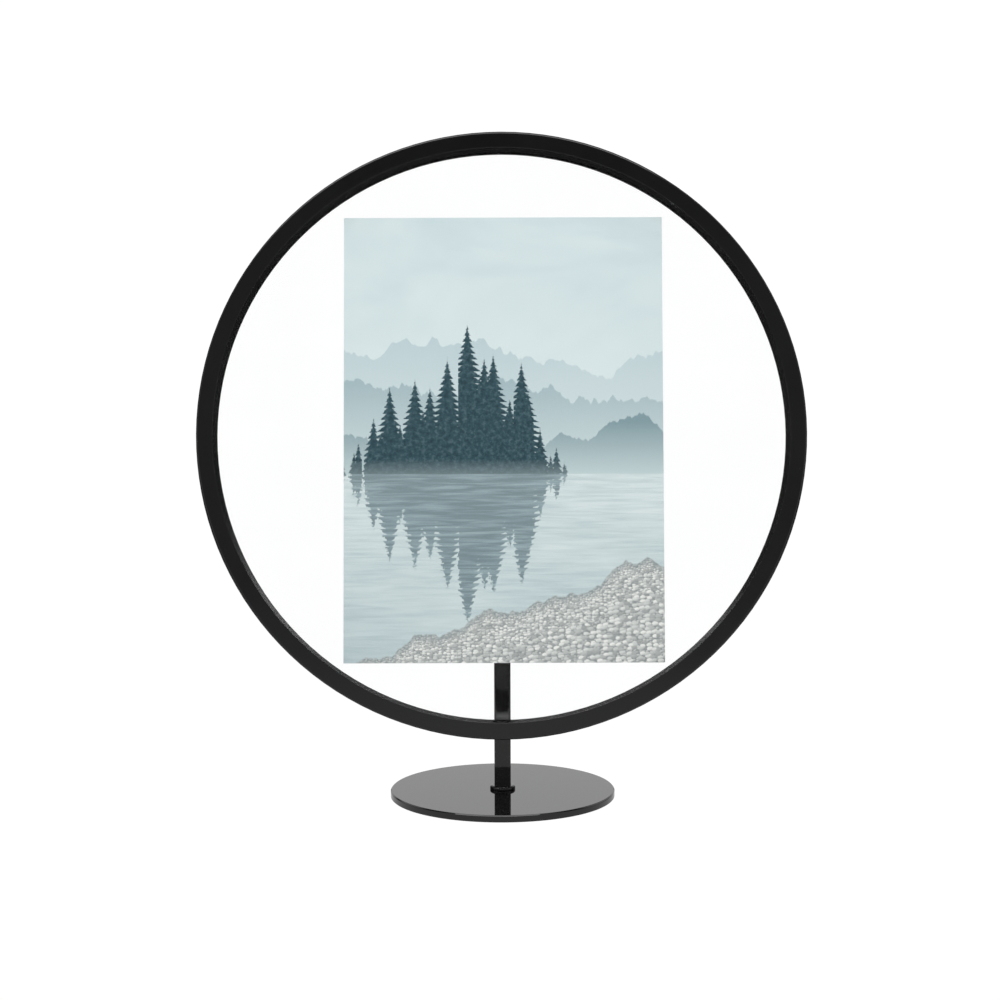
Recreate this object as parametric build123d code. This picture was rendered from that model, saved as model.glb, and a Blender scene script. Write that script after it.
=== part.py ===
from build123d import *
import math
import os

# Round two-pane photo frame: a black rim in two halves holds a print between
# two clear panes, and leans back on a hub at the top of an upright post that
# stands on a round base disc.
# Millimetres. Origin on the floor under the disc's centre, +Z up, front faces -Y.

# ---- driving dimensions -------------------------------------------------
# base
PAD_D = 85.0
PAD_T = 0.4
DISC_D = 90.9
DISC_T = 2.85
DISC_EDGE = 0.45          # bevel round the disc's top edge
DISC_FOOT = 0.25          # bevel round its lower edge
COLLAR_D = 10.3
COLLAR_H = 1.6
COLLAR_R = 0.85           # rounding of the collar's top edge
COLLAR_FOOT = 0.25        # rounding of its lower edge
POST_W = 6.62             # square bar
POST_EDGE = 1.0           # rounding of the bar's long edges
SCREW_D = 2.96            # base screw, shank
SCREW_HEAD_D = 6.0
SCREW_LEN = 10.5
TAP_D = 3.0

# tilt joint
AXIS_Z = 147.4            # height of the tilt axis
LEAN = 12.5               # rim leans back by this much at rest, degrees
RIM_OFFSET = 11.82        # tilt axis to the rim's front plane, along the rim's axis
BOLT_D = 3.0
PIVOT_D = 3.1             # running bore round the bolt
EAR_T = 2.4
EAR_GAP = 3.86            # half of the gap between the ears
EAR_R = 4.2
EAR_BASE = 8.5            # half height of an ear where it leaves the plate
WASHER_D = 7.0
WASHER_T = 0.5
BOLT_HEAD_D = 5.6
BOLT_HEAD_T = 1.7
NUT_AF = 5.5
NUT_T = 2.9

# rim, measured back from its front plane
RIM_R = 121.0             # outer radius
RIM_W = 7.8               # from the outer edge to the inner edge
SLOPE_W = 1.3             # the front's inner edge slopes in to the pane over this width
RIM_T = 9.3               # depth of both halves together
SEAM = 5.1                # where the halves meet
SEAM_GAP = 0.1
LIP_T = 3.4               # lip that laps over the pane, front
LIP_LAND = 0.3            # straight part of the lip behind the slope
POCKET_R = 117.2
REAR_LIP_S = 7.0          # where the rear lip starts
EDGE_OUT = 1.0            # rounding of the rim's outer edges
EDGE_IN = 0.25            # rounding between the front face and its slope
EDGE_IN_REAR = 0.6
SEAM_EDGE = 0.2

# panes, print, cushions
GLASS_R = 116.8
GLASS_T = 1.3
GLASS_ARRIS = 0.3
FRONT_GLASS_S = 3.65
PRINT_W = 127.0
PRINT_H = 177.8
PRINT_T = 0.22
PRINT_S = 5.0
PRINT_DX = 0.8            # the print sits a little off the rim's centre
PRINT_DZ = -1.9
REAR_GLASS_S = 5.27
CUSHION_RI = 114.1

# hub
BOND_D = 43.0
BOND_T = 0.2
HUB_D = 44.0
HUB_T = 1.3

# closing magnets and pins
CLOSE_R = 119.1           # pitch radius, in the wall of the rim
MAGNET_D = 2.4
MAGNET_T = 2.2
MAGNET_N = 8
MAGNET_POCKET_D = 2.5
PIN_D = 2.0
PIN_HOLE_D = 2.04
PIN_RUN_D = 2.2
PIN_IN = 2.6
PIN_OUT = 2.0
PIN_N = 3

os.makedirs("parts", exist_ok=True)


# ---- helpers ------------------------------------------------------------
def profile(points):
    """Face from corners (r, s, rounding), with arcs at the rounded corners."""
    n = len(points)
    edges = []
    ends = []
    for i in range(n):
        px, py, rad = points[i]
        ax, ay, _ = points[i - 1]
        bx, by, _ = points[(i + 1) % n]
        if rad <= 0:
            ends.append(((px, py), None, (px, py)))
            continue
        ua = ((ax - px), (ay - py))
        ub = ((bx - px), (by - py))
        la = math.hypot(*ua)
        lb = math.hypot(*ub)
        ua = (ua[0] / la, ua[1] / la)
        ub = (ub[0] / lb, ub[1] / lb)
        half = math.acos(max(-1.0, min(1.0, ua[0] * ub[0] + ua[1] * ub[1]))) / 2
        cut = rad / math.tan(half)
        start = (px + ua[0] * cut, py + ua[1] * cut)
        end = (px + ub[0] * cut, py + ub[1] * cut)
        bis = (ua[0] + ub[0], ua[1] + ub[1])
        lbis = math.hypot(*bis)
        reach = rad / math.sin(half) - rad
        mid = (px + bis[0] / lbis * reach, py + bis[1] / lbis * reach)
        ends.append((start, mid, end))
    for i in range(n):
        start, mid, end = ends[i]
        if mid is not None:
            edges.append(ThreePointArc(start, mid, end))
        nxt = ends[(i + 1) % n][0]
        if math.hypot(nxt[0] - end[0], nxt[1] - end[1]) > 1e-6:
            edges.append(Line(end, nxt))
    return make_face(edges)


def turned_y(points):
    """Solid of revolution about Y from corners (r, y, rounding)."""
    return revolve(profile(points), Axis.Y, 360)


def turned_z(points):
    """Solid of revolution about Z from corners (r, z, rounding)."""
    return Rot(90, 0, 0) * revolve(profile(points), Axis.Y, 360)


def s(depth):
    """Depth behind the rim's front plane to the hub's own Y."""
    return depth - RIM_OFFSET


def rod_y(d, y0, y1, x=0.0, z=0.0):
    """Rod along Y from y0 to y1."""
    return Pos(x, (y0 + y1) / 2, z) * Rot(90, 0, 0) * Cylinder(d / 2, y1 - y0)


def rod_x(d, x0, x1):
    """Rod along X through the tilt axis from x0 to x1."""
    return Pos((x0 + x1) / 2, 0, 0) * Rot(0, 90, 0) * Cylinder(d / 2, x1 - x0)


def around(n, start):
    """Points of the closing circle as (x, z)."""
    for i in range(n):
        a = math.radians(start + 360.0 * i / n)
        yield CLOSE_R * math.cos(a), CLOSE_R * math.sin(a)


def lean(shape):
    """From the hub's own frame, with the rim upright, to its place."""
    return Pos(0, 0, AXIS_Z) * Rot(-LEAN, 0, 0) * shape


def bar(width, height, edge):
    """Upright square bar with rounded long edges, standing on z = 0."""
    b = Pos(0, 0, height / 2) * Box(width, width, height)
    return fillet(b.edges().filter_by(Axis.Z), edge)


def write(node, shape):
    shape.label = node
    export_step(shape, os.path.join("parts", node + ".step"))


DISC_Z = PAD_T + DISC_T   # top of the disc
RIM_IN = RIM_R - RIM_W
SEAM_F = SEAM - SEAM_GAP / 2
SEAM_R = SEAM + SEAM_GAP / 2

# ---- base ---------------------------------------------------------------
base_pad = turned_z([(0, 0, 0), (PAD_D / 2, 0, 0), (PAD_D / 2, PAD_T, 0), (0, PAD_T, 0)])

head_h = (SCREW_HEAD_D - SCREW_D) / 2
screw = turned_z([
    (0, PAD_T, 0),
    (SCREW_HEAD_D / 2, PAD_T, 0),
    (SCREW_D / 2, PAD_T + head_h, 0),
    (SCREW_D / 2, PAD_T + SCREW_LEN - 0.4, 0),
    (SCREW_D / 2 - 0.4, PAD_T + SCREW_LEN, 0),
    (0, PAD_T + SCREW_LEN, 0),
])
socket = Pos(0, 0, PAD_T) * extrude(RegularPolygon(1.0 / math.cos(math.pi / 6), 6), 1.1)
base_screw = screw - socket

r = DISC_D / 2
hole = TAP_D / 2 + 0.2
disc = turned_z([
    (0, PAD_T, 0),
    (r - DISC_FOOT, PAD_T, 0),
    (r, PAD_T + DISC_FOOT, 0),
    (r, DISC_Z - DISC_EDGE, 0.2),
    (r - DISC_EDGE, DISC_Z, 0.2),
    (0, DISC_Z, 0),
])
sink_h = SCREW_HEAD_D / 2 + 0.05 - hole
sink = turned_z([
    (0, PAD_T - 0.01, 0),
    (SCREW_HEAD_D / 2 + 0.06, PAD_T - 0.01, 0),
    (hole, PAD_T + sink_h, 0),
    (hole, DISC_Z + 1, 0),
    (0, DISC_Z + 1, 0),
])
base_disc = disc - sink

# post: square bar with a full-round eye at the tilt axis
post_len = AXIS_Z + POST_W / 2 - DISC_Z
post = Pos(0, 0, DISC_Z) * bar(POST_W, post_len, POST_EDGE)
cap_box = Pos(0, 0, AXIS_Z + POST_W / 2) * Box(POST_W + 2, POST_W + 2, POST_W)
cap_eye = Pos(0, 0, AXIS_Z) * rod_x(POST_W, -POST_W, POST_W)
post = post - (cap_box - cap_eye)
post = post - Pos(0, 0, AXIS_Z) * rod_x(PIVOT_D, -POST_W, POST_W)
post = post - Pos(0, 0, DISC_Z + 5.5) * Cylinder(TAP_D / 2, 11.0)

ring = turned_z([
    (0, DISC_Z, 0),
    (COLLAR_D / 2, DISC_Z, COLLAR_FOOT),
    (COLLAR_D / 2, DISC_Z + COLLAR_H, COLLAR_R),
    (0, DISC_Z + COLLAR_H, 0),
])
foot_collar = ring - Pos(0, 0, DISC_Z - 1) * bar(POST_W + 0.06, COLLAR_H + 2, POST_EDGE)

# ---- rim halves ---------------------------------------------------------
front_rim = turned_y([
    (RIM_IN + SLOPE_W, s(0), EDGE_IN),
    (RIM_R, s(0), EDGE_OUT),
    (RIM_R, s(SEAM_F), SEAM_EDGE),
    (POCKET_R, s(SEAM_F), 0),
    (POCKET_R, s(LIP_T), 0),
    (RIM_IN, s(LIP_T), 0),
    (RIM_IN, s(LIP_T - LIP_LAND), 0.15),
])
rear_rim = turned_y([
    (POCKET_R, s(SEAM_R), 0),
    (RIM_R, s(SEAM_R), SEAM_EDGE),
    (RIM_R, s(RIM_T), EDGE_OUT),
    (RIM_IN, s(RIM_T), EDGE_IN_REAR),
    (RIM_IN, s(REAR_LIP_S), 0.3),
    (POCKET_R, s(REAR_LIP_S), 0),
])

front_magnets = []
rear_magnets = []
for x, z in around(MAGNET_N, 22.5):
    front_rim -= rod_y(MAGNET_POCKET_D, s(SEAM_F - MAGNET_T), s(SEAM_F) + 1, x, z)
    rear_rim -= rod_y(MAGNET_POCKET_D, s(SEAM_R) - 1, s(SEAM_R + MAGNET_T), x, z)
    front_magnets.append(rod_y(MAGNET_D, s(SEAM_F - MAGNET_T), s(SEAM_F) - 0.02, x, z))
    rear_magnets.append(rod_y(MAGNET_D, s(SEAM_R) + 0.02, s(SEAM_R + MAGNET_T), x, z))

pins = []
for x, z in around(PIN_N, 90.0):
    front_rim -= rod_y(PIN_RUN_D, s(SEAM_F - PIN_OUT - 0.4), s(SEAM_F) + 1, x, z)
    rear_rim -= rod_y(PIN_HOLE_D, s(SEAM_R) - 1, s(SEAM_R + PIN_IN), x, z)
    pin = rod_y(PIN_D, s(SEAM_R - PIN_OUT), s(SEAM_R + PIN_IN), x, z)
    pins.append(chamfer(pin.edges().sort_by(Axis.Y)[:1], 0.35))


# ---- panes, cushions, print ---------------------------------------------
def pane(front):
    return turned_y([
        (0, s(front), 0),
        (GLASS_R - GLASS_ARRIS, s(front), 0),
        (GLASS_R, s(front) + GLASS_ARRIS, 0),
        (GLASS_R, s(front + GLASS_T) - GLASS_ARRIS, 0),
        (GLASS_R - GLASS_ARRIS, s(front + GLASS_T), 0),
        (0, s(front + GLASS_T), 0),
    ])


def cushion(front, back):
    return turned_y([
        (CUSHION_RI, s(front), 0),
        (GLASS_R - GLASS_ARRIS, s(front), 0),
        (GLASS_R - GLASS_ARRIS, s(back), 0),
        (CUSHION_RI, s(back), 0),
    ])


front_glass = pane(FRONT_GLASS_S)
rear_glass = pane(REAR_GLASS_S)
rear_back = REAR_GLASS_S + GLASS_T
front_cushion = cushion(LIP_T, FRONT_GLASS_S)
rear_cushion = cushion(rear_back, REAR_LIP_S)
photo_print = Pos(PRINT_DX, s(PRINT_S + PRINT_T / 2), PRINT_DZ) * Box(PRINT_W, PRINT_T, PRINT_H)

# ---- hub and tilt joint -------------------------------------------------
bond_film = rod_y(BOND_D, s(rear_back), s(rear_back + BOND_T))
plate_front = s(rear_back + BOND_T)
plate_back = plate_front + HUB_T
hub_plate = turned_y([
    (0, plate_front, 0),
    (HUB_D / 2, plate_front, 0),
    (HUB_D / 2, plate_back, 0.6),
    (0, plate_back, 0),
])
for side in (-1, 1):
    cheek = make_face(Polyline(
        (plate_back - 0.5, -EAR_BASE),
        (plate_back, -EAR_BASE),
        (0, -EAR_R),
        (0, EAR_R),
        (plate_back, EAR_BASE),
        (plate_back - 0.5, EAR_BASE),
        close=True,
    )) + Circle(EAR_R)
    # the cheek is drawn as (y, z) and stands up along X
    slab = extrude(Plane.YZ * cheek, EAR_T)
    x0 = EAR_GAP if side > 0 else -EAR_GAP - EAR_T
    hub_plate += Pos(x0, 0, 0) * slab
hub_plate -= rod_x(PIVOT_D, -EAR_GAP - EAR_T - 1, EAR_GAP + EAR_T + 1)

x_out = EAR_GAP + EAR_T
head = Pos(-x_out - BOLT_HEAD_T / 2, 0, 0) * Rot(0, 90, 0) * Cylinder(BOLT_HEAD_D / 2, BOLT_HEAD_T)
head = fillet(head.edges().sort_by(Axis.X)[:1], 0.9)
tilt_bolt = head + rod_x(BOLT_D, -x_out - 0.2, x_out + NUT_T + 0.8)
drive = Plane.YZ.offset(-x_out - BOLT_HEAD_T) * RegularPolygon(1.0 / math.cos(math.pi / 6), 6)
tilt_bolt -= extrude(drive, 1.0)

nut_face = Plane.YZ.offset(x_out) * RegularPolygon(NUT_AF / 2 / math.cos(math.pi / 6), 6)
tilt_nut = extrude(nut_face, NUT_T) - rod_x(BOLT_D + 0.04, x_out - 1, x_out + NUT_T + 1)

washers = []
for side in (-1, 1):
    x0, x1 = EAR_GAP - 0.01 - WASHER_T, EAR_GAP - 0.01
    if side < 0:
        x0, x1 = -x1, -x0
    washers.append(rod_x(WASHER_D, x0, x1) - rod_x(PIVOT_D, x0 - 1, x1 + 1))

# ---- write --------------------------------------------------------------
write("base_pad", base_pad)
write("base_screw", base_screw)
write("base_disc", base_disc)
write("post", post)
write("foot_collar", foot_collar)
write("hub_plate", lean(hub_plate))
write("bond_film", lean(bond_film))
write("tilt_bolt", lean(tilt_bolt))
write("tilt_nut", lean(tilt_nut))
write("tilt_washers", lean(Compound(children=washers)))
write("rear_glass", lean(rear_glass))
write("rear_rim", lean(rear_rim))
write("rear_cushion", lean(rear_cushion))
write("rear_magnets", lean(Compound(children=rear_magnets)))
write("locating_pins", lean(Compound(children=pins)))
write("photo_print", lean(photo_print))
write("front_rim", lean(front_rim))
write("front_glass", lean(front_glass))
write("front_cushion", lean(front_cushion))
write("front_magnets", lean(Compound(children=front_magnets)))
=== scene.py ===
from math import cos, pi, radians, sin

import bpy
from mathutils import Matrix, Vector

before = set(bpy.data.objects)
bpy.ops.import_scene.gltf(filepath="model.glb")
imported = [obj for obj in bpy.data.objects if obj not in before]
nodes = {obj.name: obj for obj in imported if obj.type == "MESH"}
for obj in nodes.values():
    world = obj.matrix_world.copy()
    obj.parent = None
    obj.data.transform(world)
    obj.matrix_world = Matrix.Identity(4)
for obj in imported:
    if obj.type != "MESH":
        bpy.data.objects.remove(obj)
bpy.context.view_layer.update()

scene = bpy.context.scene

# Rim-local frame, in metres: X across, Y along the rim's axis (front is -Y), Z up the face.
AXIS_Z = 0.1474
LEAN = radians(12.5)
PRINT_W, PRINT_H = 0.127, 0.1778
PRINT_DX, PRINT_DZ = 0.0008, -0.0019
PRINT_Y = -0.01182 + 0.00500 + 0.00011


# ------------------------------------------------------------------ node helpers
class Graph:
    """A node tree with short calls for the nodes used below."""

    def __init__(self, tree):
        self.t = tree
        tree.nodes.clear()

    def add(self, kind, **props):
        node = self.t.nodes.new(kind)
        for key, value in props.items():
            setattr(node, key, value)
        return node

    def put(self, socket, value):
        if isinstance(value, bpy.types.NodeSocket):
            self.t.links.new(value, socket)
        elif value is not None:
            socket.default_value = value

    def math(self, op, a, b=None, c=None, clamp=False):
        node = self.add("ShaderNodeMath", operation=op, use_clamp=clamp)
        for socket, value in zip(node.inputs, (a, b, c)):
            self.put(socket, value)
        return node.outputs[0]

    def step(self, value, low, high, a=0.0, b=1.0):
        """Smooth step from a to b as value goes from low to high."""
        node = self.add("ShaderNodeMapRange", interpolation_type="SMOOTHSTEP")
        for name, v in (("Value", value), ("From Min", low), ("From Max", high), ("To Min", a), ("To Max", b)):
            self.put(node.inputs[name], v)
        return node.outputs["Result"]

    def line(self, value, low, high, a=0.0, b=1.0):
        node = self.add("ShaderNodeMapRange", interpolation_type="LINEAR")
        for name, v in (("Value", value), ("From Min", low), ("From Max", high), ("To Min", a), ("To Max", b)):
            self.put(node.inputs[name], v)
        return node.outputs["Result"]

    def mapping(self, vector, loc=(0, 0, 0), rot=(0, 0, 0), scale=(1, 1, 1)):
        node = self.add("ShaderNodeMapping")
        self.put(node.inputs["Vector"], vector)
        node.inputs["Location"].default_value = loc
        node.inputs["Rotation"].default_value = rot
        node.inputs["Scale"].default_value = scale
        return node.outputs[0]

    def object_coords(self):
        return self.add("ShaderNodeTexCoord").outputs["Object"]

    def noise(self, vector, scale, detail=3.0, rough=0.5, distortion=0.0, dims="3D", w=None):
        node = self.add("ShaderNodeTexNoise", noise_dimensions=dims)
        if dims != "1D":
            self.put(node.inputs["Vector"], vector)
        if w is not None:
            self.put(node.inputs["W"], w)
        self.put(node.inputs["Scale"], scale)
        self.put(node.inputs["Detail"], detail)
        self.put(node.inputs["Roughness"], rough)
        self.put(node.inputs["Distortion"], distortion)
        return node.outputs[0]

    def voronoi(self, vector, scale, feature="F1", out="Distance", dims="3D", randomness=1.0):
        node = self.add("ShaderNodeTexVoronoi", feature=feature, voronoi_dimensions=dims)
        self.put(node.inputs["Vector"], vector)
        self.put(node.inputs["Scale"], scale)
        self.put(node.inputs["Randomness"], randomness)
        return node.outputs[out]

    def ramp(self, fac, stops, mode="LINEAR"):
        node = self.add("ShaderNodeValToRGB")
        ramp = node.color_ramp
        ramp.interpolation = mode
        while len(ramp.elements) < len(stops):
            ramp.elements.new(0.5)
        for element, (pos, col) in zip(ramp.elements, stops):
            element.position = pos
            element.color = (*col, 1.0) if len(col) == 3 else col
        self.put(node.inputs[0], fac)
        return node.outputs[0]

    def mix(self, fac, a, b, blend="MIX"):
        node = self.add("ShaderNodeMix", data_type="RGBA", blend_type=blend)
        self.put(node.inputs[0], fac)
        for socket, value in ((node.inputs[6], a), (node.inputs[7], b)):
            if isinstance(value, tuple) and len(value) == 3:
                value = (*value, 1.0)
            self.put(socket, value)
        return node.outputs[2]

    def bump(self, height, strength, distance, normal=None):
        node = self.add("ShaderNodeBump")
        node.inputs["Strength"].default_value = strength
        node.inputs["Distance"].default_value = distance
        self.put(node.inputs["Height"], height)
        if normal is not None:
            self.put(node.inputs["Normal"], normal)
        return node.outputs[0]

    def xyz(self, vector):
        node = self.add("ShaderNodeSeparateXYZ")
        self.put(node.inputs[0], vector)
        return node.outputs

    def vector(self, x, y, z=0.0):
        node = self.add("ShaderNodeCombineXYZ")
        for socket, value in zip(node.inputs, (x, y, z)):
            self.put(socket, value)
        return node.outputs[0]


def material(name):
    mat = bpy.data.materials.new(name)
    mat.use_nodes = True
    return mat, Graph(mat.node_tree)


def principled(g, **values):
    shader = g.add("ShaderNodeBsdfPrincipled")
    for key, value in values.items():
        g.put(shader.inputs[key.replace("_", " ")], value)
    out = g.add("ShaderNodeOutputMaterial")
    g.t.links.new(shader.outputs[0], out.inputs["Surface"])
    return shader


# Rim-local coordinates of a point of any node of the leaning frame at rest.
def rim_local(g):
    p = g.object_coords()
    return g.mapping(p, loc=(0.0, AXIS_Z * sin(LEAN), -AXIS_Z * cos(LEAN)), rot=(LEAN, 0.0, 0.0))


# ------------------------------------------------------------------ lacquers
def gloss_lacquer():
    """High-gloss black lacquer: mirror-like, with a faint orange peel, hazy wipe marks and dust."""
    mat, g = material("lacquer_gloss_black")
    p = g.object_coords()
    haze = g.noise(g.mapping(p, scale=(1.0, 0.45, 1.0), rot=(0, 0, 0.5)), 70.0, 4.0, 0.6)
    wipe = g.noise(g.mapping(p, scale=(1.0, 7.0, 1.0), rot=(0, 0, 0.9)), 160.0, 3.0, 0.55)
    specks = g.step(g.voronoi(p, 260.0), 0.055, 0.035)
    lone = g.step(g.noise(p, 90.0, 1.0), 0.60, 0.66)
    dust = g.math("MULTIPLY", specks, lone)
    colour = g.mix(dust, g.ramp(haze, [(0.25, (0.0032, 0.0032, 0.0034)), (0.75, (0.0052, 0.0052, 0.0055))]),
                   (0.05, 0.05, 0.05))
    rough = g.math("ADD", g.line(haze, 0.3, 0.7, 0.035, 0.055), g.line(wipe, 0.5, 0.8, 0.0, 0.022))
    rough = g.math("ADD", rough, g.math("MULTIPLY", dust, 0.3))
    peel = g.noise(p, 520.0, 2.0, 0.5)
    principled(g, Base_Color=colour, Roughness=rough, IOR=1.5, Specular_IOR_Level=0.5,
               Normal=g.bump(peel, 0.10, 0.00004))
    return mat


def rim_lacquer():
    """Semi-gloss black lacquer on steel strip: finer sheen, sprayed texture."""
    mat, g = material("lacquer_semi_black")
    p = g.object_coords()
    cloud = g.noise(p, 55.0, 4.0, 0.6)
    grit = g.noise(p, 2600.0, 3.0, 0.6)
    specks = g.math("MULTIPLY", g.step(g.voronoi(p, 330.0), 0.05, 0.03), g.step(g.noise(p, 80.0, 1.0), 0.60, 0.66))
    colour = g.mix(specks, g.ramp(cloud, [(0.3, (0.0030, 0.0030, 0.0031)), (0.7, (0.0044, 0.0044, 0.0046))]),
                   (0.04, 0.04, 0.04))
    rough = g.math("ADD", g.line(cloud, 0.3, 0.7, 0.085, 0.115), g.line(grit, 0.3, 0.7, -0.015, 0.02))
    rough = g.math("ADD", rough, g.math("MULTIPLY", specks, 0.2))
    peel = g.noise(p, 800.0, 3.0, 0.55)
    principled(g, Base_Color=colour, Roughness=rough, IOR=1.5, Specular_IOR_Level=0.5,
               Normal=g.bump(grit, 0.015, 0.00002, g.bump(peel, 0.02, 0.00004)))
    return mat


def hub_lacquer():
    """Satin black lacquer on a cast hub, with a fine wrinkled grain."""
    mat, g = material("lacquer_satin_black")
    p = g.object_coords()
    cloud = g.noise(p, 120.0, 4.0, 0.6)
    grain = g.noise(p, 3200.0, 3.0, 0.6)
    cells = g.voronoi(p, 2400.0, feature="SMOOTH_F1")
    colour = g.ramp(cloud, [(0.3, (0.012, 0.012, 0.0125)), (0.7, (0.019, 0.019, 0.0195))])
    rough = g.math("ADD", g.line(cloud, 0.3, 0.7, 0.36, 0.44), g.line(grain, 0.3, 0.7, -0.03, 0.04))
    principled(g, Base_Color=colour, Roughness=rough, IOR=1.5, Specular_IOR_Level=0.5,
               Normal=g.bump(grain, 0.25, 0.00005, g.bump(cells, 0.2, 0.00006)))
    return mat


# ------------------------------------------------------------------ metals
def zinc_steel():
    """Bright zinc-plated steel: fine turning lines, faint blue and straw tints."""
    mat, g = material("zinc_plated_steel")
    p = g.object_coords()
    lines = g.noise(g.mapping(p, scale=(1.0, 0.15, 0.15)), 9000.0, 2.0, 0.6)
    cloud = g.noise(p, 420.0, 4.0, 0.6)
    colour = g.ramp(cloud, [(0.25, (0.52, 0.54, 0.57)), (0.55, (0.60, 0.60, 0.60)), (0.8, (0.62, 0.59, 0.53))])
    rough = g.math("ADD", g.line(lines, 0.3, 0.7, 0.20, 0.32), g.line(cloud, 0.3, 0.7, -0.03, 0.05))
    principled(g, Base_Color=colour, Metallic=1.0, Roughness=rough,
               Normal=g.bump(lines, 0.15, 0.00003))
    return mat


def nickel():
    """Nickel-plated magnets: bright, warm grey, with fine hair scratches."""
    mat, g = material("nickel_plate")
    p = g.object_coords()
    hair = g.noise(g.mapping(p, scale=(0.12, 1.0, 1.0), rot=(0.3, 0.4, 0.2)), 7000.0, 2.0, 0.6)
    cloud = g.noise(p, 600.0, 3.0, 0.6)
    colour = g.ramp(cloud, [(0.3, (0.58, 0.56, 0.53)), (0.7, (0.68, 0.66, 0.62))])
    rough = g.math("ADD", g.line(cloud, 0.3, 0.7, 0.12, 0.20), g.line(hair, 0.45, 0.75, 0.0, 0.1))
    principled(g, Base_Color=colour, Metallic=1.0, Roughness=rough, Normal=g.bump(hair, 0.08, 0.00002))
    return mat


# ------------------------------------------------------------------ plastics and foams
def nylon():
    """Black nylon friction washers: waxy, slightly scuffed."""
    mat, g = material("nylon_black")
    p = g.object_coords()
    scuff = g.noise(g.mapping(p, scale=(0.3, 1.0, 1.0)), 2600.0, 3.0, 0.6)
    cloud = g.noise(p, 500.0, 3.0, 0.5)
    colour = g.ramp(cloud, [(0.3, (0.020, 0.020, 0.021)), (0.7, (0.034, 0.034, 0.035))])
    rough = g.line(scuff, 0.3, 0.7, 0.38, 0.55)
    principled(g, Base_Color=colour, Roughness=rough, IOR=1.53, Subsurface_Weight=0.0,
               Normal=g.bump(scuff, 0.2, 0.00003))
    return mat


def foam(name, cell, dark, light):
    """Black closed-cell foam: small cut cells over a slow mottle, with painted shade in the cell pits and a painted
    lighter tone on the raised cell walls.
    """
    mat, g = material(name)
    p = g.object_coords()
    cells = g.voronoi(p, cell)
    walls = g.voronoi(p, cell, feature="DISTANCE_TO_EDGE")
    cloud = g.noise(p, cell * 0.08, 3.0, 0.6)
    # painted shade: the cell pits take the dark tone and the raised walls between them the light tone
    colour = g.mix(g.step(walls, 0.02, 0.12), light, dark)
    colour = g.mix(g.line(cloud, 0.3, 0.7, 0.0, 0.5), colour, (0.012, 0.012, 0.012))
    rough = g.line(cells, 0.0, 0.6, 0.96, 0.72)
    principled(g, Base_Color=colour, Roughness=rough, IOR=1.45, Specular_IOR_Level=0.35,
               Normal=g.bump(cells, 0.6, 0.00012))
    return mat


# ------------------------------------------------------------------ glass and film
def pane_glass():
    """Clear low-reflection picture glass: each face a faint mirror, stronger at a glance, dulled by faint smears."""
    mat, g = material("float_glass")
    p = g.object_coords()
    smear = g.noise(g.mapping(p, scale=(1.0, 1.0, 0.35), rot=(0.0, 0.6, 0.0)), 42.0, 4.0, 0.6)
    facing = g.add("ShaderNodeLayerWeight")
    facing.inputs["Blend"].default_value = 0.5
    mirror = g.math("MULTIPLY_ADD", g.math("POWER", facing.outputs["Facing"], 5.0), 0.80, 0.0035)
    clear = g.add("ShaderNodeBsdfTransparent")
    g.put(clear.inputs["Color"], g.ramp(smear, [(0.35, (0.993, 0.995, 0.994)), (0.8, (0.990, 0.992, 0.991))]))
    gloss = g.add("ShaderNodeBsdfGlossy")
    gloss.inputs["Color"].default_value = (1.0, 1.0, 1.0, 1.0)
    g.put(gloss.inputs["Roughness"], g.line(smear, 0.4, 0.8, 0.0, 0.045))
    wave = g.noise(p, 18.0, 1.0, 0.4)
    g.put(gloss.inputs["Normal"], g.bump(wave, 0.02, 0.0002))
    both = g.add("ShaderNodeMixShader")
    g.put(both.inputs[0], mirror)
    g.t.links.new(clear.outputs[0], both.inputs[1])
    g.t.links.new(gloss.outputs[0], both.inputs[2])
    out = g.add("ShaderNodeOutputMaterial")
    g.t.links.new(both.outputs[0], out.inputs["Surface"])
    return mat


def bond_clear():
    """Clear adhesive film, with a light haze and small trapped bubbles."""
    mat, g = material("bond_film_clear")
    p = g.object_coords()
    bubble = g.step(g.voronoi(p, 620.0), 0.16, 0.10)
    some = g.step(g.noise(p, 260.0, 2.0), 0.52, 0.60)
    bubbles = g.math("MULTIPLY", bubble, some)
    haze = g.noise(p, 140.0, 4.0, 0.6)
    clear = g.add("ShaderNodeBsdfTransparent")
    g.put(clear.inputs["Color"], g.ramp(haze, [(0.3, (0.93, 0.95, 0.95)), (0.7, (0.88, 0.90, 0.90))]))
    body = g.add("ShaderNodeBsdfPrincipled")
    g.put(body.inputs["Base Color"], g.ramp(haze, [(0.3, (0.78, 0.80, 0.80)), (0.7, (0.70, 0.72, 0.72))]))
    g.put(body.inputs["Roughness"], g.line(haze, 0.3, 0.7, 0.12, 0.3))
    g.put(body.inputs["Normal"], g.bump(bubbles, 0.4, 0.00005))
    both = g.add("ShaderNodeMixShader")
    g.put(both.inputs[0], g.math("ADD", g.line(haze, 0.3, 0.7, 0.18, 0.3), g.math("MULTIPLY", bubbles, 0.35)))
    g.t.links.new(clear.outputs[0], both.inputs[1])
    g.t.links.new(body.outputs[0], both.inputs[2])
    out = g.add("ShaderNodeOutputMaterial")
    g.t.links.new(both.outputs[0], out.inputs["Surface"])
    return mat


# ------------------------------------------------------------------ the print
def srgb(r, g, b):
    def lin(c):
        c /= 255.0
        return c / 12.92 if c <= 0.04045 else ((c + 0.055) / 1.055) ** 2.4
    return (lin(r), lin(g), lin(b))


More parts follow.
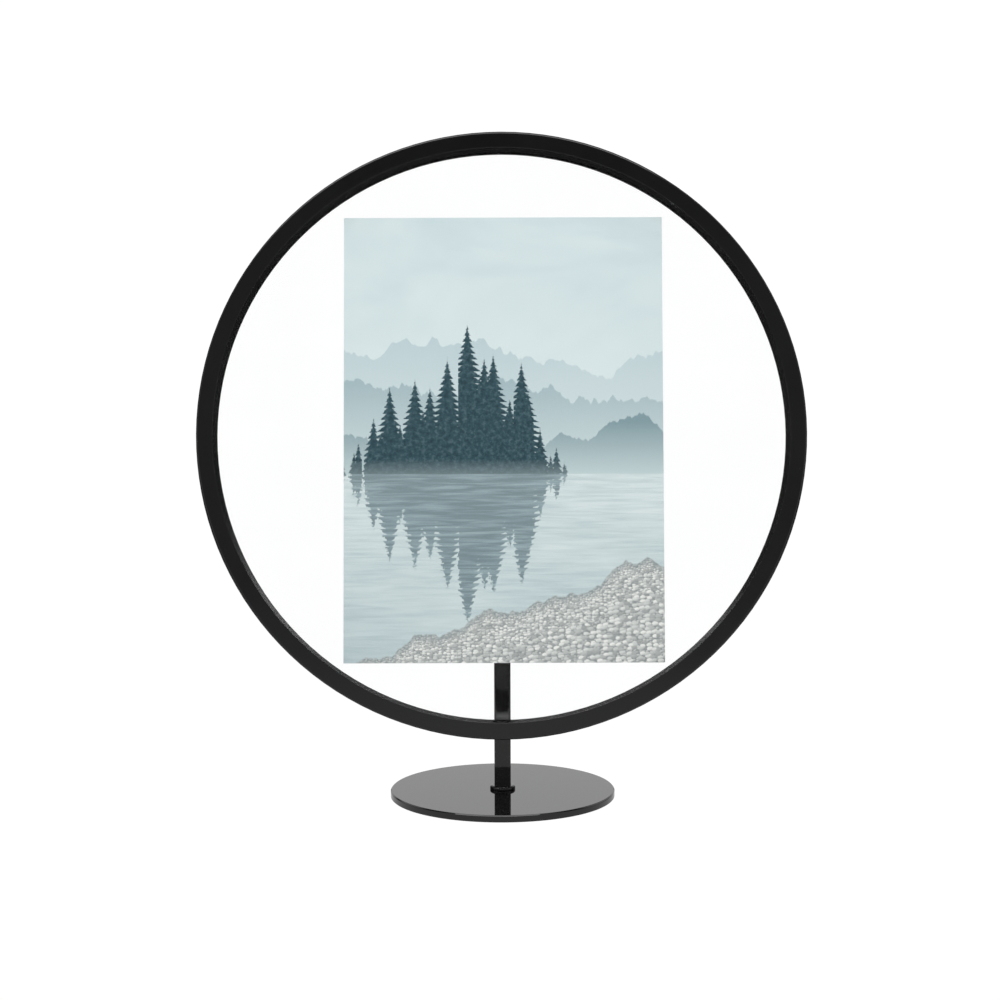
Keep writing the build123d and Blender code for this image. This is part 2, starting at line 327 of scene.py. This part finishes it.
def photo_paper():
    """A generic misty lake on lustre photo paper: pale hills, a wooded spit with its mirror image, a pebble shore.
    The back and the cut edge are plain white paper."""
    mat, g = material("photo_print_paper")
    local = rim_local(g)
    lx, ly, lz = g.xyz(local)
    # millimetres from the sheet's centre
    x = g.math("MULTIPLY", g.math("SUBTRACT", lx, PRINT_DX), 1000.0)
    z = g.math("MULTIPLY", g.math("SUBTRACT", lz, PRINT_DZ), 1000.0)
    flat = g.vector(x, z)

    SHORE = -14.0            # water line of the far bank
    # --- sky: cool paper-white with slow mist banks
    mist = g.noise(g.mapping(flat, scale=(0.45, 1.0, 1.0)), 0.035, 5.0, 0.62, 0.6)
    sky = g.mix(g.line(z, SHORE, 88.9, 0.0, 1.0), srgb(216, 227, 228), srgb(193, 209, 213))
    sky = g.mix(g.line(mist, 0.35, 0.68, 0.0, 0.55), sky, srgb(221, 230, 230))
    picture = sky

    # --- three hill lines, paler with distance, each with mist at its foot
    def hills(picture, base, rise, scale, seed, top, foot, fine):
        ridge = g.noise(None, scale, 6.0, 0.55, dims="1D", w=g.math("ADD", x, seed))
        teeth = g.noise(None, fine, 2.0, 0.5, dims="1D", w=g.math("ADD", x, seed * 1.7))
        height = g.math("ADD", g.math("MULTIPLY_ADD", ridge, rise, base), g.math("MULTIPLY", teeth, rise * 0.06))
        below = g.step(g.math("SUBTRACT", height, z), -0.25, 0.35)
        depth = g.line(z, SHORE, base + rise * 0.7, 0.0, 1.0)
        colour = g.mix(depth, foot, top)
        return g.mix(below, picture, colour)

    picture = hills(picture, 4.0, 58.0, 0.016, 311.0, srgb(182, 200, 205), srgb(214, 225, 226), 0.25)
    picture = hills(picture, -10.0, 52.0, 0.020, 77.0, srgb(156, 178, 184), srgb(205, 218, 219), 0.4)
    picture = hills(picture, -17.0, 34.0, 0.024, 515.0, srgb(128, 153, 160), srgb(188, 204, 206), 0.7)

    # --- water: pale, in long flat ripples that fade with distance
    ripple = g.noise(g.mapping(flat, scale=(0.06, 1.0, 1.0)), 0.75, 4.0, 0.55, 0.4)
    swell = g.noise(g.mapping(flat, scale=(0.22, 1.0, 1.0)), 0.09, 3.0, 0.5)
    water = g.mix(g.line(z, -88.9, SHORE, 0.0, 1.0), srgb(186, 201, 204), srgb(211, 222, 223))
    water = g.mix(g.line(ripple, 0.40, 0.72, 0.0, 0.55), water, srgb(157, 178, 183))
    water = g.mix(g.line(swell, 0.45, 0.75, 0.0, 0.45), water, srgb(220, 229, 229))
    in_water = g.step(z, SHORE + 0.25, SHORE - 0.25)
    picture = g.mix(in_water, picture, water)

    # --- wooded spit: conifers in three ranks, mirrored in the water
    wobble = g.math("MULTIPLY", g.math("SUBTRACT", g.noise(flat, 0.8, 2.0, 0.5), 0.5), 3.0)
    over = g.math("SUBTRACT", z, SHORE)                      # height over the water line
    rise = g.math("ABSOLUTE", over)                          # the mirror image repeats it downwards
    wet = g.step(over, 0.2, -0.2)
    xw = g.math("ADD", x, g.math("MULTIPLY", wet, wobble))

    def trees(pitch, seed, tall, spread, lean_in):
        cell = g.math("FLOOR", g.math("DIVIDE", g.math("ADD", xw, seed), pitch))
        rnd = g.add("ShaderNodeTexWhiteNoise", noise_dimensions="1D")
        g.put(rnd.inputs["W"], g.math("ADD", cell, seed))
        r1 = rnd.outputs["Value"]
        r2 = g.xyz(rnd.outputs["Color"])[1]
        centre = g.math("ADD", g.math("MULTIPLY", g.math("ADD", cell, 0.5), pitch),
                        g.math("MULTIPLY_ADD", r2, pitch * 0.5, -pitch * 0.25 - seed))
        # taller towards the middle of the spit, none past its ends
        middle = g.math("SUBTRACT", 1.0, g.math("POWER", g.math("MULTIPLY", g.math("SUBTRACT", centre, lean_in), 1.0 / spread), 2.0))
        tip = g.math("MULTIPLY", g.math("MULTIPLY_ADD", r1, 0.5, 0.5), g.math("MULTIPLY", middle, tall))
        drop = g.math("SUBTRACT", tip, rise)
        tiers = g.math("FRACT", g.math("MULTIPLY_ADD", drop, 0.42, r2))
        width = g.math("MULTIPLY", g.math("MULTIPLY_ADD", tiers, 0.16, 0.14), drop)
        return g.math("SUBTRACT", width, g.math("ABSOLUTE", g.math("SUBTRACT", xw, centre)))

    wood = g.math("MAXIMUM", g.math("MAXIMUM", trees(11.0, 4000.0, 74.0, 42.0, -16.0), trees(7.5, 5013.0, 56.0, 46.0, -18.0)),
                  trees(4.6, 6027.0, 32.0, 50.0, -20.0))
    bank_noise = g.noise(None, 0.35, 4.0, 0.6, dims="1D", w=g.math("ADD", xw, 900.0))
    bank = g.math("SUBTRACT", g.math("MULTIPLY_ADD", bank_noise, 5.0, 0.0),
                  g.math("ADD", rise, g.math("MULTIPLY", g.math("POWER", g.math("MULTIPLY", g.math("ADD", x, 24.0), 1.0 / 46.0), 2.0), 5.0)))
    needles = g.math("MULTIPLY", g.math("SUBTRACT", g.noise(flat, 1.6, 3.0, 0.6), 0.5), 1.6)
    mask = g.step(g.math("ADD", g.math("MAXIMUM", wood, bank), needles), -0.15, 0.35)
    leaf = g.noise(flat, 0.55, 4.0, 0.65)
    tone = g.ramp(leaf, [(0.28, srgb(26, 52, 62)), (0.5, srgb(46, 76, 86)), (0.74, srgb(82, 106, 114))])
    tone = g.mix(g.line(over, 0.0, 6.0, 0.45, 0.0), tone, srgb(150, 166, 168))
    pool = g.mix(g.line(ripple, 0.42, 0.7, 0.05, 0.75), srgb(70, 98, 107), srgb(160, 180, 186))
    fade = g.math("MULTIPLY", mask, g.mix(wet, (1.0, 1.0, 1.0), (0.78, 0.78, 0.78)))
    picture = g.mix(fade, picture, g.mix(wet, tone, pool))

    # --- pebble shore: a pale, speckled bank that runs up to the right
    edge = g.noise(None, 0.05, 4.0, 0.55, dims="1D", w=g.math("ADD", x, 1400.0))
    slope = g.math("ADD", g.math("MULTIPLY_ADD", x, 0.33, -77.0), g.math("MULTIPLY", edge, 16.0))
    ashore = g.step(g.math("SUBTRACT", slope, z), -0.3, 0.5)
    inland = g.math("SUBTRACT", slope, z)

    def pebbles(scale, shift):
        """Rounded stones: one cell each, lit from the upper left, with dark gaps between them."""
        rough_edge = g.noise(flat, scale * 1.6, 2.0, 0.5)
        at = g.mapping(flat, loc=(shift, shift, 0.0), scale=(0.66, 1.0, 1.0))
        cells = g.add("ShaderNodeTexVoronoi", voronoi_dimensions="2D")
        g.put(cells.inputs["Vector"], at)
        cells.inputs["Scale"].default_value = scale
        cells.inputs["Randomness"].default_value = 0.82
        r, gr, b = g.xyz(cells.outputs["Color"])
        stone = g.ramp(r, [(0.08, srgb(163, 167, 166)), (0.40, srgb(203, 206, 204)), (0.9, srgb(229, 230, 227))])
        # where the point lies on its stone: upper left lighter, lower right darker
        cx, cy, cz = g.xyz(cells.outputs["Position"])
        ax, ay, az = g.xyz(at)
        side = g.math("SUBTRACT", g.math("SUBTRACT", ay, cy), g.math("MULTIPLY", g.math("SUBTRACT", ax, cx), 0.6))
        side = g.math("MULTIPLY", side, scale)
        stone = g.mix(g.line(side, 0.05, -0.5, 0.0, 0.5), stone, srgb(140, 146, 147))
        reach = g.math("MULTIPLY_ADD", gr, 0.12, 0.42)
        reach = g.math("ADD", reach, g.line(rough_edge, 0.3, 0.7, -0.05, 0.05))
        gap = g.step(g.math("SUBTRACT", cells.outputs["Distance"], reach), -0.05, 0.06)
        return g.mix(gap, stone, srgb(151, 156, 156)), gap

    def bank_of(scale, shift):
        """A first layer of stones, with smaller ones showing in its gaps."""
        top, gap = pebbles(scale, shift)
        under, low = pebbles(scale * 1.9, shift + 31.0)
        under = g.mix(0.35, under, srgb(132, 138, 139))
        return g.mix(gap, top, under)

    wander = g.math("MULTIPLY_ADD", g.noise(flat, 0.35, 2.0, 0.5), 5.0, -2.5)
    band = g.math("ADD", inland, wander)
    stone = g.mix(g.step(band, 4.2, 4.6), bank_of(1.5, 3.0), bank_of(0.95, 11.0))
    stone = g.mix(g.step(band, 12.3, 12.7), stone, bank_of(0.62, 23.0))
    damp = g.step(inland, 4.0, 0.5, 0.0, 0.5)
    stone = g.mix(damp, stone, srgb(128, 142, 145))
    picture = g.mix(ashore, picture, stone)

    # --- photographic grain
    grain = g.noise(flat, 2.4, 2.0, 0.7)
    picture = g.mix(0.30, picture, g.ramp(grain, [(0.25, (0.28, 0.28, 0.28)), (0.75, (0.72, 0.72, 0.72))]), blend="OVERLAY")

    # --- plain paper for the back and the cut edges
    fibre = g.noise(g.mapping(local, scale=(1.0, 1.0, 0.4)), 900.0, 4.0, 0.6)
    paper = g.ramp(fibre, [(0.3, srgb(228, 228, 224)), (0.7, srgb(240, 240, 237))])
    front = g.step(ly, PRINT_Y - 0.00009, PRINT_Y - 0.000105)
    colour = g.mix(front, paper, picture)
    lustre = g.voronoi(local, 2600.0, feature="SMOOTH_F1")
    rough = g.math("ADD", g.math("MULTIPLY_ADD", front, -0.22, 0.62), g.line(lustre, 0.0, 0.6, -0.05, 0.06))
    principled(g, Base_Color=colour, Roughness=rough, IOR=1.48, Specular_IOR_Level=0.3,
               Normal=g.bump(lustre, 0.12, 0.00003))
    return mat


MATERIALS = {
    "base_disc": gloss_lacquer(),
}
LACQUER = MATERIALS["base_disc"]
MATERIALS["foot_collar"] = MATERIALS["post"] = LACQUER
RIM = rim_lacquer()
MATERIALS["front_rim"] = MATERIALS["rear_rim"] = RIM
MATERIALS["hub_plate"] = hub_lacquer()
STEEL = zinc_steel()
for name in ("base_screw", "tilt_bolt", "tilt_nut", "locating_pins"):
    MATERIALS[name] = STEEL
NICKEL = nickel()
MATERIALS["front_magnets"] = MATERIALS["rear_magnets"] = NICKEL
MATERIALS["tilt_washers"] = nylon()
CUSHION = foam("cushion_foam_black", 2400.0, (0.010, 0.010, 0.010), (0.026, 0.026, 0.026))
MATERIALS["front_cushion"] = MATERIALS["rear_cushion"] = CUSHION
MATERIALS["base_pad"] = foam("pad_foam_black", 1500.0, (0.012, 0.012, 0.012), (0.030, 0.030, 0.030))
GLASS = pane_glass()
MATERIALS["front_glass"] = MATERIALS["rear_glass"] = GLASS
MATERIALS["bond_film"] = bond_clear()
MATERIALS["photo_print"] = photo_paper()

for name, mat in MATERIALS.items():
    obj = nodes[name]
    for slot in obj.material_slots:
        slot.material = mat

# ------------------------------------------------------------------ floor
mesh = bpy.data.meshes.new("studio_floor")
N = 96
R = 6.0
mesh.from_pydata([(R * cos(2 * pi * i / N), R * sin(2 * pi * i / N), -0.0001) for i in range(N)], [], [tuple(range(N))])
floor = bpy.data.objects.new("studio_floor", mesh)
scene.collection.objects.link(floor)
mat, g = material("studio_floor")
fx, fy, fz = g.xyz(g.object_coords())
cloud = g.noise(g.object_coords(), 3.0, 2.0, 0.5)
# what the lacquer mirrors: a lit sweep in front and beside the base, unlit behind it
near = g.step(g.math("SQRT", g.math("ADD", g.math("MULTIPLY", fx, fx), g.math("MULTIPLY", fy, fy))), 0.9, 0.5)
sweep = g.math("MULTIPLY", near, g.step(fy, 0.10, 0.02))
sweep = g.math("MULTIPLY", sweep, g.line(cloud, 0.3, 0.7, 0.97, 1.03))
# past the fold the sweep falls off, and comes up a little again further out
sweep = g.math("MULTIPLY", sweep, g.step(fy, -0.195, -0.165, 0.38, 1.0))
sweep = g.math("MULTIPLY", sweep, g.step(fy, -0.235, -0.275, 1.0, 1.55))
# the sweep's lit fold, a hand's width in front of the base
fold = g.math("MULTIPLY", g.step(fy, -0.1685, -0.1625), g.step(fy, -0.1545, -0.1605))
fold = g.math("MULTIPLY", fold, g.step(g.math("ABSOLUTE", fx), 0.30, 0.12))
lit = g.add("ShaderNodeEmission")
mirrored = g.mix(fold, g.mix(sweep, (0.085, 0.085, 0.085), (0.68, 0.68, 0.68)), (2.5, 2.5, 2.5))
path = g.add("ShaderNodeLightPath")
g.put(lit.inputs["Color"], g.mix(path.outputs["Is Diffuse Ray"], mirrored, (0.80, 0.80, 0.80)))     # even light for matt surfaces
seen = g.add("ShaderNodeEmission")
g.put(seen.inputs["Color"], g.ramp(cloud, [(0.3, (1.025, 1.025, 1.025)), (0.7, (1.035, 1.035, 1.035))]))
pick = g.add("ShaderNodeMixShader")
g.put(pick.inputs[0], path.outputs["Is Camera Ray"])
g.t.links.new(lit.outputs[0], pick.inputs[1])
g.t.links.new(seen.outputs[0], pick.inputs[2])
out = g.add("ShaderNodeOutputMaterial")
g.t.links.new(pick.outputs[0], out.inputs["Surface"])
mat.cycles.emission_sampling = "NONE"
mesh.materials.append(mat)

# ------------------------------------------------------------------ studio light
world = bpy.data.worlds.new("studio")
scene.world = world
world.use_nodes = True
g = Graph(world.node_tree)
wx, wy, wz = g.xyz(g.add("ShaderNodeTexCoord").outputs["Generated"])
flat = g.math("SQRT", g.math("ADD", g.math("MULTIPLY", wx, wx), g.math("MULTIPLY", wy, wy)))
ahead = g.math("DIVIDE", wy, g.math("MAXIMUM", flat, 0.001))      # -1 in front, 1 behind
# in front: bright low down, dark above, as past the lower edge of a dark screen with the lens in it
low = g.ramp(wz, [(0.0, (0.68,) * 3), (0.218, (0.68,) * 3), (0.233, (0.53,) * 3), (0.243, (0.32,) * 3), (0.262, (0.23,) * 3),
                  (0.360, (0.23,) * 3), (0.391, (0.16,) * 3), (0.408, (0.09,) * 3), (0.6, (0.10,) * 3), (0.9, (0.4,) * 3)])
# behind: one bright panel
panel = g.ramp(wz, [(0.0, (0.5,) * 3), (0.08, (0.93,) * 3), (0.34, (0.93,) * 3), (0.48, (0.34,) * 3), (0.64, (0.28,) * 3),
                    (0.82, (0.2,) * 3)])
around = g.mix(g.step(ahead, -0.2, 0.2), (0.70, 0.70, 0.70), (0.07, 0.07, 0.07))
around = g.mix(g.step(ahead, -0.5, -0.85), around, low)
# the panel wraps round to both sides above the horizon, lower down on the right than on the left
wrap = g.math("MULTIPLY", g.step(ahead, 0.30, 0.50), g.math("MULTIPLY", g.step(wz, 0.80, 0.62), g.mix(
    g.step(wx, -0.05, 0.05), g.step(wz, 0.33, 0.47), g.step(wz, 0.14, 0.42))))
around = g.mix(wrap, around, (0.95, 0.95, 0.95))
around = g.mix(g.step(ahead, 0.78, 0.90), around, panel)
path = g.add("ShaderNodeLightPath")
lit = g.add("ShaderNodeBackground")
g.put(lit.inputs["Color"], g.mix(path.outputs["Is Diffuse Ray"], around, (0.80, 0.80, 0.80)))      # even light for matt surfaces
lit.inputs["Strength"].default_value = 1.0
seen = g.add("ShaderNodeBackground")
seen.inputs["Color"].default_value = (1.03, 1.03, 1.03, 1.0)
pick = g.add("ShaderNodeMixShader")
g.put(pick.inputs[0], path.outputs["Is Camera Ray"])
g.t.links.new(lit.outputs[0], pick.inputs[1])
g.t.links.new(seen.outputs[0], pick.inputs[2])
world.cycles.sampling_method = "NONE"
out = g.add("ShaderNodeOutputWorld")
g.t.links.new(pick.outputs[0], out.inputs["Surface"])


def soft_light(name, at, to, wide, high, power):
    data = bpy.data.lights.new(name, "AREA")
    data.shape = "RECTANGLE"
    data.size, data.size_y = wide, high
    data.energy = power
    obj = bpy.data.objects.new(name, data)
    obj.location = at
    obj.rotation_euler = (Vector(to) - Vector(at)).to_track_quat("-Z", "Y").to_euler()
    scene.collection.objects.link(obj)
    return obj


soft_light("key_overhead", (-0.15, -0.45, 1.35), (0.0, 0.0, 0.15), 1.4, 1.0, 13.0)

# ------------------------------------------------------------------ camera
cam_data = bpy.data.cameras.new("camera")
cam_data.lens = 104.35
cam_data.sensor_width = 36.0
cam_data.sensor_fit = "HORIZONTAL"
cam_data.clip_start = 0.01
camera = bpy.data.objects.new("camera", cam_data)
camera.location = (0.00045, -1.1511, 0.2800)
turn = Matrix.Rotation(radians(0.057), 3, "Z") @ Matrix.Rotation(radians(90.0 - 7.838), 3, "X") @ Matrix.Rotation(radians(-0.19), 3, "Z")
camera.rotation_euler = turn.to_euler()
scene.collection.objects.link(camera)
scene.camera = camera

scene.view_settings.view_transform = "Standard"
scene.view_settings.look = "None"
scene.view_settings.exposure = 0.0
scene.view_settings.gamma = 1.0
